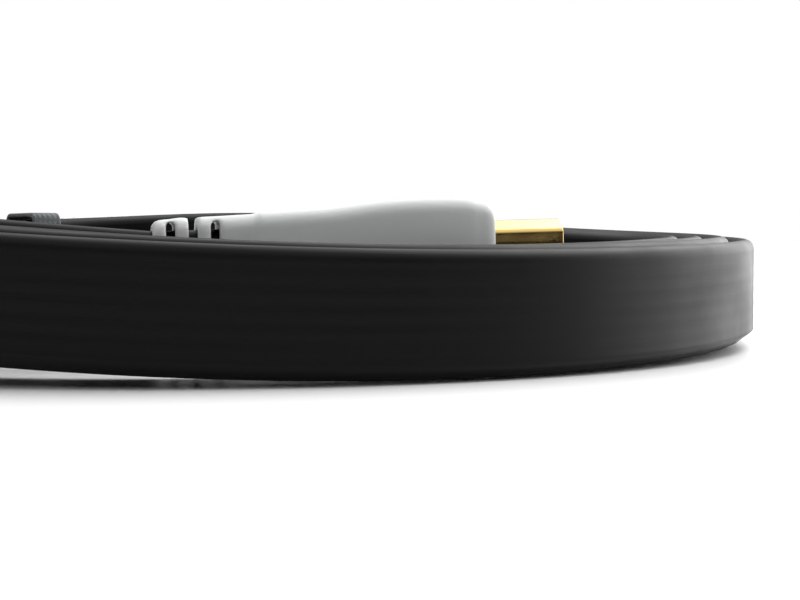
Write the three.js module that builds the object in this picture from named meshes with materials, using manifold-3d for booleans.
// A flat digital video cable, coiled on edge and tied, with a 19-contact plug at each end.
//
// Millimetres, +Z up, +X to the right and +Y away from the viewer. The cable winds clockwise, seen
// from above, from plug A inside the coil to plug B behind it. The coil lies on a level floor: its
// front right edge and both plugs touch it, and the plugs, which are wider than the cable, hold the
// rest of the coil a few millimetres up. The origin is the middle of the finished object's base.

import * as THREE from 'three';
import { mergeVertices } from 'three/addons/utils/BufferGeometryUtils.js';
import Module from 'manifold-3d';

const wasm = await Module();
wasm.setup();

// Cable: one ribbon that stands on edge
const CABLE_WIDTH = 13.5;
const CABLE_THICKNESS = 3.0;
const CABLE_EDGE_ROUND = 0.8;

// Coil: radii run from its centre to the middle of the outermost turn
const COIL_RADIUS_SIDE = 76;
const COIL_RADIUS_FRONT = 76;
const COIL_RADIUS_BACK = 68;
const COIL_TURNS = 4.4;
const OPEN_PITCH = 5.0;
const TURN_GAP = 0.35;

// Where the turns lie tight: the middle, how far to each side, and how much further they ease open
const FRONT_PINCH = { angle: -46, tight: 58, ease: 30 };
const TIE_PINCH = { angle: 129.7, tight: 4, ease: 26 };

// Height of the coil's lower edge over the floor: its mean, then the cosine and sine parts of one,
// two and three waves round the coil. It is lowest at the front right.
const LIFT_MEAN = 3.0;
const LIFT_WAVES = [
  [-1.433, 1.443],
  [-0.346, 0.859],
  [0.209, -0.648],
];
const INNER_TURN_RAISE = 0.45;

// Where the two plugs leave the coil. A heading is the way a plug points, anticlockwise from +X.
const PLUG_A_ANGLE = -92.9;
const PLUG_A_RADIUS = 50.5;
const PLUG_A_HEADING = 12;
const PLUG_A_PITCH = 1.6;
const PLUG_B_HEADING = 13;
const PLUG_B_PITCH = -1.5;
const PLUG_B_OFFSET = 6.5;
const TAIL_SWEEP = 54;
const HEIGHT_SWEEP = 80;

// Grip and strain relief of a plug, moulded in one: distance from the tip of the relief, and half the
// width and half the thickness there
const GRIP_STATIONS = [
  [0, 7.3, 3.1],
  [0.3, 7.9, 3.45],
  [0.9, 8.2, 3.6],
  [6.0, 8.24, 3.7],
  [11.9, 8.45, 3.9],
  [12.4, 8.62, 4.3],
  [17.1, 8.8, 4.55],
  [21.5, 9.0, 4.8],
  [25.0, 9.47, 5.0],
  [28.5, 9.75, 5.2],
  [32.0, 9.85, 5.3],
  [37.4, 9.75, 5.25],
  [39.0, 9.45, 5.0],
  [39.8, 8.9, 4.6],
  [40.1, 8.4, 4.2],
];
const GRIP_CORNER = 1.7;
const GRIP_LENGTH = GRIP_STATIONS.at(-1)[0];
const CABLE_IN_GRIP = 20;
const CABLE_CLEARANCE = 0.3;

// Openings that make the relief bend: windows through its faces and one notch in each edge
const WINDOW_CENTRES = [2.05, 7.1];
const WINDOW_LENGTH = 1.05;
const WINDOW_HALF_HEIGHT = 7.75;
const NOTCH_CENTRE = 4.6;
const NOTCH_LENGTH = 1.1;
const NOTCH_BRIDGE = 8.0;

// Plug shell: a sheet metal sleeve with two chamfered corners on one wide face
const SHELL_WIDTH = 13.9;
const SHELL_THICKNESS = 4.45;
const SHELL_WALL = 0.3;
const SHELL_CHAMFER_ACROSS = 1.25;
const SHELL_CHAMFER_DEEP = 1.6;
const SHELL_CORNER = 0.5;
const SHELL_LEAST_CORNER = 0.15;
const SHELL_EXPOSED = 9.0;
const SHELL_IN_GRIP = 7.5;
const PLUG_CLEARANCE = 0.15;

// Insulator with its slot, and the two rows of contacts in the slot's walls
const INSULATOR_RECESS = 0.8;
const SLOT_DEPTH = 7.0;
const SLOT_HEIGHT = 2.1;
const SLOT_END_MARGIN = 0.9;
const CONTACT_PITCH = 1.0;
const CONTACTS_WIDE_ROW = 10;
const CONTACTS_NARROW_ROW = 9;
const CONTACT_WIDTH = 0.45;
const CONTACT_THICKNESS = 0.25;
const CONTACT_LENGTH = 5.6;
const CONTACT_CLEARANCE = 0.1;
const GROOVE_DEPTH = 0.22;

// Tie around the bundle of turns
const TIE_WIDTH = 5.0;
const TIE_THICKNESS = 0.8;
const TIE_GAP = 0.3;
const TIE_CORNER = 1.2;

// Facets
const SECTION_CORNER_STEPS = 3;
const COIL_STEP = 9;
const START_STEP = 3;
const TAIL_STEP = 4.5;
const START_SWEEP = 27;

const rad = THREE.MathUtils.degToRad;
const UP = new THREE.Vector3(0, 0, 1);

const jacketBlack = new THREE.MeshStandardMaterial({ color: '#1b1d1c', roughness: 0.45, metalness: 0 });
const gripGrey = new THREE.MeshStandardMaterial({ color: '#a9abac', roughness: 0.6, metalness: 0 });
const goldPlate = new THREE.MeshStandardMaterial({ color: '#d9b45c', roughness: 0.25, metalness: 1 });
const insulatorBlack = new THREE.MeshStandardMaterial({ color: '#141414', roughness: 0.5, metalness: 0 });
const tieBlack = new THREE.MeshStandardMaterial({ color: '#202221', roughness: 0.8, metalness: 0 });

// Coil in plan. `turned` is the angle travelled clockwise from the relief of plug A, in degrees.

const TOTAL_TURNED = COIL_TURNS * 360;
const CLOSE_PITCH = CABLE_THICKNESS + TURN_GAP;
const angleAt = (turned) => PLUG_A_ANGLE - turned;

// 1 where a pinch holds the turns tight, falling smoothly to 0 past its ease
function pinch({ angle, tight, ease }, at) {
  const away = Math.abs(((at - angle) % 360 + 540) % 360 - 180);
  const eased = THREE.MathUtils.clamp((away - tight) / ease, 0, 1);
  return Math.cos(eased * Math.PI / 2) ** 2;
}

function pitchAt(angle) {
  const closing = pinch(FRONT_PINCH, angle) + pinch(TIE_PINCH, angle);
  return OPEN_PITCH - (OPEN_PITCH - CLOSE_PITCH) * closing;
}

function outermostRadius(angle) {
  const across = Math.cos(rad(angle)) / COIL_RADIUS_SIDE;
  const deep = Math.sin(rad(angle));
  return 1 / Math.hypot(across, deep / (deep > 0 ? COIL_RADIUS_BACK : COIL_RADIUS_FRONT));
}

// How many turns lie outside this one
const WHOLE_TURNS = Math.floor(COIL_TURNS);
const turnsOutside = (turned) => WHOLE_TURNS - turned / 360;

const coilRadius = (turned) =>
  outermostRadius(angleAt(turned)) - pitchAt(angleAt(turned)) * turnsOutside(turned);

// Plug A starts inside its turn, and the cable swings out to the turn from there
const startInset = coilRadius(0) - PLUG_A_RADIUS;
const startSlope = PLUG_A_RADIUS * Math.tan(rad(PLUG_A_HEADING - PLUG_A_ANGLE - 90));
const startSweep = THREE.MathUtils.radToDeg(2 * startInset / startSlope);
const swingOut = (turned) => startInset * Math.max(0, 1 - turned / startSweep) ** 2;

// The tail leaves the bundle before the tie and turns in to run along behind the coil
const endRadius = coilRadius(TOTAL_TURNED) + PLUG_B_OFFSET;
const endCoilSlope = (coilRadius(TOTAL_TURNED) - coilRadius(TOTAL_TURNED - 1)) / rad(1);
const endHeading = angleAt(TOTAL_TURNED) - 90;
const endSlope = endRadius * Math.tan(rad(PLUG_B_HEADING - endHeading)) - endCoilSlope;
const tailCubic = endSlope * rad(TAIL_SWEEP) - 2 * PLUG_B_OFFSET;
const tailSquare = PLUG_B_OFFSET - tailCubic;
const tailShare = (turned) => Math.max(0, (turned - TOTAL_TURNED + TAIL_SWEEP) / TAIL_SWEEP);
const tailOffset = (turned) => tailSquare * tailShare(turned) ** 2 + tailCubic * tailShare(turned) ** 3;

const radiusAt = (turned) => coilRadius(turned) - swingOut(turned) + tailOffset(turned);

// Half the width of the grip at its widest sets how high a plug with this pitch lies on the floor
function tipHeight(pitch) {
  const drop = GRIP_STATIONS.map(([x, half]) => half * Math.cos(rad(pitch)) - x * Math.sin(rad(pitch)));
  return Math.max(...drop);
}

function liftAt(angle) {
  const waves = LIFT_WAVES.map(([cosine, sine], i) =>
    cosine * Math.cos(rad((i + 1) * angle)) + sine * Math.sin(rad((i + 1) * angle)));
  return LIFT_MEAN + waves.reduce((sum, wave) => sum + wave, 0);
}

function coilPoint(turned) {
  const angle = angleAt(turned);
  const radius = radiusAt(turned);
  const raise = INNER_TURN_RAISE * THREE.MathUtils.smoothstep(turnsOutside(turned), 0, 1);
  const x = radius * Math.cos(rad(angle));
  const y = radius * Math.sin(rad(angle));
  return new THREE.Vector3(x, y, CABLE_WIDTH / 2 + liftAt(angle) + raise);
}

const startStep = tipHeight(PLUG_A_PITCH) - coilPoint(0).z;
const endStep = tipHeight(PLUG_B_PITCH) - coilPoint(TOTAL_TURNED).z;

function cablePoint(turned) {
  const point = coilPoint(turned);
  point.z += startStep * Math.max(0, 1 - turned / HEIGHT_SWEEP) ** 2;
  point.z += endStep * tailShare(turned) ** 2;
  return point;
}

// A plug is placed at the tip of its relief, with its mouth along +X of its own frame

function plugFrame(tip, heading, pitch) {
  const frame = new THREE.Group();
  frame.position.copy(tip);
  frame.rotation.set(0, -rad(pitch), rad(heading), 'ZYX');
  frame.updateMatrixWorld();
  return frame;
}

const plugA = plugFrame(cablePoint(0), PLUG_A_HEADING, PLUG_A_PITCH);
const plugB = plugFrame(cablePoint(TOTAL_TURNED), PLUG_B_HEADING, PLUG_B_PITCH);

// The whole route: millimetres inside the grip of plug A below zero, degrees round the coil from
// zero to TOTAL_TURNED, and millimetres inside the grip of plug B past that
function routePoint(station) {
  if (station < 0) return plugA.localToWorld(new THREE.Vector3(-station, 0, 0));
  if (station > TOTAL_TURNED) return plugB.localToWorld(new THREE.Vector3(station - TOTAL_TURNED, 0, 0));
  return cablePoint(station);
}

function spread(from, to, step) {
  const count = Math.max(1, Math.round((to - from) / step));
  return Array.from({ length: count }, (_, i) => from + (to - from) * (i + 1) / count);
}

const tailStart = TOTAL_TURNED - TAIL_SWEEP;
const routeStations = [
  -CABLE_IN_GRIP,
  ...spread(-CABLE_IN_GRIP, 0, CABLE_IN_GRIP / 2),
  ...spread(0, START_SWEEP, START_STEP),
  ...spread(START_SWEEP, tailStart, COIL_STEP),
  ...spread(tailStart, TOTAL_TURNED, TAIL_STEP),
  ...spread(TOTAL_TURNED, TOTAL_TURNED + CABLE_IN_GRIP, CABLE_IN_GRIP / 2),
];

// The cable's centre line. Its steps are the stations, and its frames stay upright, so that the
// facets of neighbouring turns face each other and the ribbon never twists.
class CableRoute extends THREE.Curve {
  getPoint(t, target = new THREE.Vector3()) {
    const place = t * (routeStations.length - 1);
    const from = Math.min(Math.floor(place), routeStations.length - 2);
    const station = THREE.MathUtils.lerp(routeStations[from], routeStations[from + 1], place - from);
    return target.copy(routePoint(station));
  }

  getUtoTmapping(u) {
    return u;
  }

  computeFrenetFrames(segments) {
    const tangents = [];
    const normals = [];
    const binormals = [];
    for (let i = 0; i <= segments; i += 1) {
      const tangent = this.getTangent(i / segments);
      const normal = new THREE.Vector3().crossVectors(UP, tangent).normalize();
      tangents.push(tangent);
      normals.push(normal);
      binormals.push(new THREE.Vector3().crossVectors(tangent, normal));
    }
    return { tangents, normals, binormals };
  }
}

// Outlines lie in a plug's cross section: shape x is its thickness and shape y its width

function chamferedBox(halfX, halfY, cut) {
  return new THREE.Shape([
    new THREE.Vector2(halfX, halfY - cut),
    new THREE.Vector2(halfX - cut, halfY),
    new THREE.Vector2(cut - halfX, halfY),
    new THREE.Vector2(-halfX, halfY - cut),
    new THREE.Vector2(-halfX, cut - halfY),
    new THREE.Vector2(cut - halfX, -halfY),
    new THREE.Vector2(halfX - cut, -halfY),
    new THREE.Vector2(halfX, cut - halfY),
  ]);
}

// A closed outline through these corners, each rounded by about this radius
function roundedOutline(corners, radius, Kind = THREE.Shape) {
  const outline = new Kind();
  corners.forEach((corner, i) => {
    const before = corners.at(i - 1);
    const after = corners[(i + 1) % corners.length];
    const enter = corner.clone().add(before.clone().sub(corner).setLength(radius));
    const leave = corner.clone().add(after.clone().sub(corner).setLength(radius));
    if (i === 0) outline.moveTo(enter.x, enter.y);
    else outline.lineTo(enter.x, enter.y);
    outline.quadraticCurveTo(corner.x, corner.y, leave.x, leave.y);
  });
  outline.closePath();
  return outline;
}

// The shell's outline, moved inwards by `inset`. The chamfered corners are on the -x side.
function shellOutline(inset, Kind = THREE.Shape) {
  const halfX = SHELL_THICKNESS / 2 - inset;
  const halfY = SHELL_WIDTH / 2 - inset;
  const slant = new THREE.Vector2(-SHELL_CHAMFER_ACROSS, SHELL_CHAMFER_DEEP).normalize();
  const foot = new THREE.Vector2(-SHELL_THICKNESS / 2, SHELL_WIDTH / 2 - SHELL_CHAMFER_ACROSS);
  const reach = slant.dot(foot) - inset;
  const yOnFace = (reach + slant.x * halfX) / slant.y;
  const xOnEdge = (reach - slant.y * halfY) / slant.x;
  const corners = [[halfX, halfY], [xOnEdge, halfY], [-halfX, yOnFace]];
  corners.push([-halfX, -yOnFace], [xOnEdge, -halfY], [halfX, -halfY]);
  const radius = Math.max(SHELL_CORNER - inset, SHELL_LEAST_CORNER);
  return roundedOutline(corners.map(([x, y]) => new THREE.Vector2(x, y)), radius, Kind);
}

// Extrude an outline along a plug's axis from one distance to another
function extrudeAlongPlug(shape, from, to) {
  const geometry = new THREE.ExtrudeGeometry(shape, {
    depth: to - from,
    bevelEnabled: false,
    curveSegments: SECTION_CORNER_STEPS,
  });
  const toPlug = new THREE.Matrix4().makeBasis(
    new THREE.Vector3(0, 1, 0),
    new THREE.Vector3(0, 0, 1),
    new THREE.Vector3(1, 0, 0),
  );
  return geometry.applyMatrix4(toPlug).translate(from, 0, 0);
}

function box(lengthX, lengthY, lengthZ, x, y, z) {
  return new THREE.BoxGeometry(lengthX, lengthY, lengthZ).translate(x, y, z);
}

function toSolid(geometry) {
  const bare = geometry.clone();
  bare.deleteAttribute('normal');
  bare.deleteAttribute('uv');
  const merged = mergeVertices(bare, 1e-5);
  const mesh = new wasm.Mesh({
    numProp: 3,
    vertProperties: new Float32Array(merged.attributes.position.array),
    triVerts: new Uint32Array(merged.index.array),
  });
  return new wasm.Manifold(mesh);
}

function toGeometry(solid) {
  const mesh = solid.getMesh();
  const geometry = new THREE.BufferGeometry();
  geometry.setAttribute('position', new THREE.BufferAttribute(mesh.vertProperties, 3));
  geometry.setIndex(new THREE.BufferAttribute(mesh.triVerts, 1));
  geometry.computeVertexNormals();
  return geometry;
}

const cutAway = (body, cutters) =>
  toGeometry(cutters.reduce((solid, cutter) => solid.subtract(toSolid(cutter)), toSolid(body)));

// Pieces

function cableGeometry() {
  const section = chamferedBox(CABLE_THICKNESS / 2, CABLE_WIDTH / 2, CABLE_EDGE_ROUND);
  const options = { steps: routeStations.length - 1, extrudePath: new CableRoute() };
  return new THREE.ExtrudeGeometry(section, options);
}

// One ring of the grip: a rounded rectangle across the plug's axis, anticlockwise from the mouth
function gripRing([x, halfWidth, halfThickness]) {
  const radius = Math.min(GRIP_CORNER, halfThickness * 0.8);
  const ring = [];
  for (let quarter = 0; quarter < 4; quarter += 1) {
    const signY = quarter === 0 || quarter === 3 ? 1 : -1;
    const signZ = quarter < 2 ? 1 : -1;
    for (let step = 0; step <= SECTION_CORNER_STEPS; step += 1) {
      const turn = (quarter + step / SECTION_CORNER_STEPS) * Math.PI / 2;
      const y = signY * (halfThickness - radius) + radius * Math.cos(turn);
      const z = signZ * (halfWidth - radius) + radius * Math.sin(turn);
      ring.push([x, y, z]);
    }
  }
  return ring;
}

function gripBody() {
  const rings = GRIP_STATIONS.map(gripRing);
  const count = rings[0].length;
  const index = [];
  for (let i = 0; i + 1 < rings.length; i += 1) {
    for (let j = 0; j < count; j += 1) {
      const a = i * count + j;
      const b = i * count + (j + 1) % count;
      index.push(a, b, b + count, a, b + count, a + count);
    }
  }
  const last = (rings.length - 1) * count;
  for (let j = 1; j + 1 < count; j += 1) {
    index.push(0, j + 1, j, last, last + j, last + j + 1);
  }
  const geometry = new THREE.BufferGeometry();
  geometry.setAttribute('position', new THREE.Float32BufferAttribute(rings.flat(2), 3));
  geometry.setIndex(index);
  return geometry;
}

const gripCutReach = 4 * GRIP_CORNER + SHELL_WIDTH;
const shellRear = GRIP_LENGTH - SHELL_IN_GRIP;
const shellMouth = GRIP_LENGTH + SHELL_EXPOSED;

function gripGeometry() {
  const boreLength = CABLE_IN_GRIP + 2 * CABLE_CLEARANCE;
  const boreThickness = CABLE_THICKNESS + 2 * CABLE_CLEARANCE;
  const boreWidth = CABLE_WIDTH + 2 * CABLE_CLEARANCE;
  const bore = box(boreLength, boreThickness, boreWidth, boreLength / 2 - CABLE_CLEARANCE, 0, 0);
  const pocket = extrudeAlongPlug(shellOutline(-PLUG_CLEARANCE), shellRear - PLUG_CLEARANCE, shellMouth);
  const windows = WINDOW_CENTRES.map((x) =>
    box(WINDOW_LENGTH, gripCutReach, 2 * WINDOW_HALF_HEIGHT, x, 0, 0));
  const notchZ = (NOTCH_BRIDGE + gripCutReach) / 2;
  const notches = [-1, 1].map((side) =>
    box(NOTCH_LENGTH, gripCutReach, gripCutReach, NOTCH_CENTRE, 0, side * notchZ));
  return cutAway(gripBody(), [bore, pocket, ...windows, ...notches]);
}

function shellGeometry() {
  const outline = shellOutline(0);
  outline.holes.push(shellOutline(SHELL_WALL, THREE.Path));
  return extrudeAlongPlug(outline, shellRear, shellMouth);
}

// The two rows: which wall of the slot, and how many contacts
const CONTACT_ROWS = [
  { side: 1, count: CONTACTS_WIDE_ROW },
  { side: -1, count: CONTACTS_NARROW_ROW },
];
const contactPlaces = CONTACT_ROWS.flatMap(({ side, count }) =>
  Array.from({ length: count }, (_, i) => ({ side, z: (i - (count - 1) / 2) * CONTACT_PITCH })));

const insulatorFront = shellMouth - INSULATOR_RECESS;
const contactX = insulatorFront - INSULATOR_RECESS - CONTACT_LENGTH / 2;
const contactY = SLOT_HEIGHT / 2 + GROOVE_DEPTH - CONTACT_CLEARANCE - CONTACT_THICKNESS / 2;

function insulatorGeometry() {
  const block = extrudeAlongPlug(shellOutline(SHELL_WALL + PLUG_CLEARANCE), shellRear, insulatorFront);
  const slotWidth = (CONTACTS_WIDE_ROW - 1) * CONTACT_PITCH + CONTACT_WIDTH + 2 * SLOT_END_MARGIN;
  const slot = box(2 * SLOT_DEPTH, SLOT_HEIGHT, slotWidth, insulatorFront, 0, 0);
  const grooveLength = CONTACT_LENGTH + 2 * CONTACT_CLEARANCE;
  const grooveWidth = CONTACT_WIDTH + 2 * CONTACT_CLEARANCE;
  const grooves = contactPlaces.map(({ side, z }) =>
    box(grooveLength, 2 * GROOVE_DEPTH, grooveWidth, contactX, side * SLOT_HEIGHT / 2, z));
  return cutAway(block, [slot, ...grooves]);
}

// The tie's hole clears every turn that passes through it
function tieMesh() {
  const first = PLUG_A_ANGLE - TIE_PINCH.angle + 360;
  const turns = Array.from({ length: WHOLE_TURNS }, (_, i) => first + 360 * i);
  const inner = cablePoint(turns[0]);
  const outer = cablePoint(turns.at(-1));
  const middle = inner.clone().add(outer).multiplyScalar(0.5);
  const along = cablePoint(first + 361).sub(cablePoint(first + 359)).setZ(0).normalize();
  const across = new THREE.Vector3().crossVectors(UP, along);
  const room = new THREE.Box2();
  turns.forEach((turn) => spread(turn - 6, turn + 6, 1).forEach((at) => {
    const offset = cablePoint(at).sub(middle);
    if (Math.abs(offset.dot(along)) > TIE_WIDTH / 2 + 1) return;
    room.expandByPoint(new THREE.Vector2(offset.dot(across), offset.z));
  }));
  const facetSag = COIL_RADIUS_SIDE * (1 - Math.cos(rad(COIL_STEP / 2)));
  const sideGap = CABLE_THICKNESS / 2 + TIE_GAP + facetSag;
  room.expandByVector(new THREE.Vector2(sideGap, CABLE_WIDTH / 2 + TIE_GAP));
  const outside = room.clone().expandByScalar(TIE_THICKNESS);
  const cornersOf = ({ min, max }) => {
    const corners = [[max.x, min.y], [max.x, max.y], [min.x, max.y], [min.x, min.y]];
    return corners.map(([x, y]) => new THREE.Vector2(x, y));
  };
  const band = roundedOutline(cornersOf(outside), TIE_CORNER + TIE_THICKNESS);
  band.holes.push(roundedOutline(cornersOf(room), CABLE_EDGE_ROUND, THREE.Path));
  const options = { depth: TIE_WIDTH, bevelEnabled: false, curveSegments: SECTION_CORNER_STEPS };
  const geometry = new THREE.ExtrudeGeometry(band, options);
  geometry.translate(0, 0, -TIE_WIDTH / 2);
  const mesh = new THREE.Mesh(geometry, tieBlack);
  mesh.name = 'bundle_tie';
  const lengthwise = new THREE.Vector3().crossVectors(across, UP);
  mesh.setRotationFromMatrix(new THREE.Matrix4().makeBasis(across, UP, lengthwise));
  mesh.position.copy(middle);
  return mesh;
}

function fillPlug(frame, prefix) {
  const add = (name, geometry, material) => {
    const mesh = new THREE.Mesh(geometry, material);
    mesh.name = `${prefix}_${name}`;
    frame.add(mesh);
    return mesh;
  };
  add('grip', gripGeometry(), gripGrey);
  add('shell', shellGeometry(), goldPlate);
  add('insulator', insulatorGeometry(), insulatorBlack);
  contactPlaces.forEach(({ side, z }, i) => {
    const geometry = new THREE.BoxGeometry(CONTACT_LENGTH, CONTACT_THICKNESS, CONTACT_WIDTH);
    const contact = add(`contact_${String(i + 1).padStart(2, '0')}`, geometry, goldPlate);
    contact.position.set(contactX, side * contactY, z);
  });
}

const coiledCable = new THREE.Group();
const cable = new THREE.Mesh(cableGeometry(), jacketBlack);
cable.name = 'flat_cable';
fillPlug(plugA, 'plug_a');
fillPlug(plugB, 'plug_b');
coiledCable.add(cable, plugA, plugB, tieMesh());

// Stand the finished object on its base, with the origin at the middle
const extent = new THREE.Box3().setFromObject(coiledCable, true);
const centre = extent.getCenter(new THREE.Vector3());
coiledCable.position.set(-centre.x, -centre.y, -extent.min.z);

export default coiledCable;
